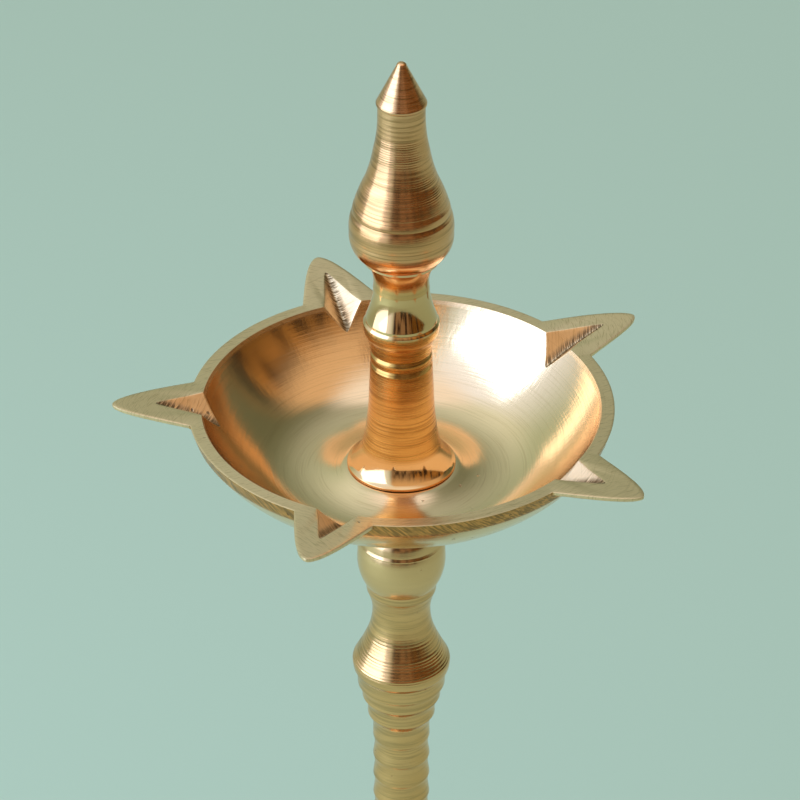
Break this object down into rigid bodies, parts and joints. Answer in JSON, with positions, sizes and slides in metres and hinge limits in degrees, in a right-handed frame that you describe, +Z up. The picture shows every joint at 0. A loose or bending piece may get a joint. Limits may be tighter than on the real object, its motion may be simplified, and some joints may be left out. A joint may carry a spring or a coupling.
{
  "type": "standing oil lamp",
  "caption": "Turned brass standing oil lamp (samai): spouted oil bowl with a central column and pointed kalash finial, on a baluster and ribbed stem with a hollow bell base.",
  "frame": {"origin": "centre of the base's underside, on the surface that the lamp stands on", "axes": "+Z up the turning axis; -X towards one of the wick spouts"},
  "size_m": [0.15, 0.15, 0.4521],
  "materials": {
    "base_brass": "turned and polished",
    "stem_brass": "turned, fine lathe lines",
    "bowl_brass": "turned inside, filed rim and spouts",
    "finial_brass": "turned, coarse lathe ridges",
    "stud_brass": "cut thread"
  },
  "bodies": {
    "base": {"base_bell": "base_brass"},
    "base_stud": {"base_stud": "stud_brass"},
    "lower_stem": {"lower_stem": "stem_brass"},
    "stem_stud": {"stem_stud": "stud_brass"},
    "upper_stem": {"upper_stem": "stem_brass"},
    "bowl": {"oil_bowl": "bowl_brass"},
    "bowl_stud": {"bowl_stud": "stud_brass"},
    "column": {"finial_column": "finial_brass"},
    "kalash_stud": {"kalash_stud": "stud_brass"},
    "kalash": {"kalash": "finial_brass"}
  },
  "joints": [
    {"name": "lower_stem_rise", "type": "slide", "parent": "base", "child": "base_stud", "axis": [0, 0, 1], "range_m": [0, 0.01125]},
    {"name": "lower_stem_screw", "type": "hinge", "parent": "base_stud", "child": "lower_stem", "pos_m": [0, 0, 0.088], "axis": [0, 0, 1], "range_deg": [0, 3240]},
    {"name": "upper_stem_rise", "type": "slide", "parent": "lower_stem", "child": "stem_stud", "axis": [0, 0, 1], "range_m": [0, 0.01125]},
    {"name": "upper_stem_screw", "type": "hinge", "parent": "stem_stud", "child": "upper_stem", "pos_m": [0, 0, 0.2681], "axis": [0, 0, 1], "range_deg": [0, 3240]},
    {"name": "bowl_turn", "type": "hinge", "parent": "upper_stem", "child": "bowl", "pos_m": [0, 0, 0.3317], "axis": [0, 0, 1], "continuous": true},
    {"name": "column_rise", "type": "slide", "parent": "upper_stem", "child": "bowl_stud", "axis": [0, 0, 1], "range_m": [0, 0.01125]},
    {"name": "column_screw", "type": "hinge", "parent": "bowl_stud", "child": "column", "pos_m": [0, 0, 0.335], "axis": [0, 0, 1], "range_deg": [0, 3240]},
    {"name": "kalash_rise", "type": "slide", "parent": "column", "child": "kalash_stud", "axis": [0, 0, 1], "range_m": [0, 0.01125]},
    {"name": "kalash_screw", "type": "hinge", "parent": "kalash_stud", "child": "kalash", "pos_m": [0, 0, 0.3967], "axis": [0, 0, 1], "range_deg": [0, 3240]}
  ],
  "couplings": [
    {"joint": "lower_stem_screw", "follows": "lower_stem_rise", "rad_per_m": 5026.5},
    {"joint": "upper_stem_screw", "follows": "upper_stem_rise", "rad_per_m": 5026.5},
    {"joint": "column_screw", "follows": "column_rise", "rad_per_m": 5026.5},
    {"joint": "kalash_screw", "follows": "kalash_rise", "rad_per_m": 5026.5}
  ]
}
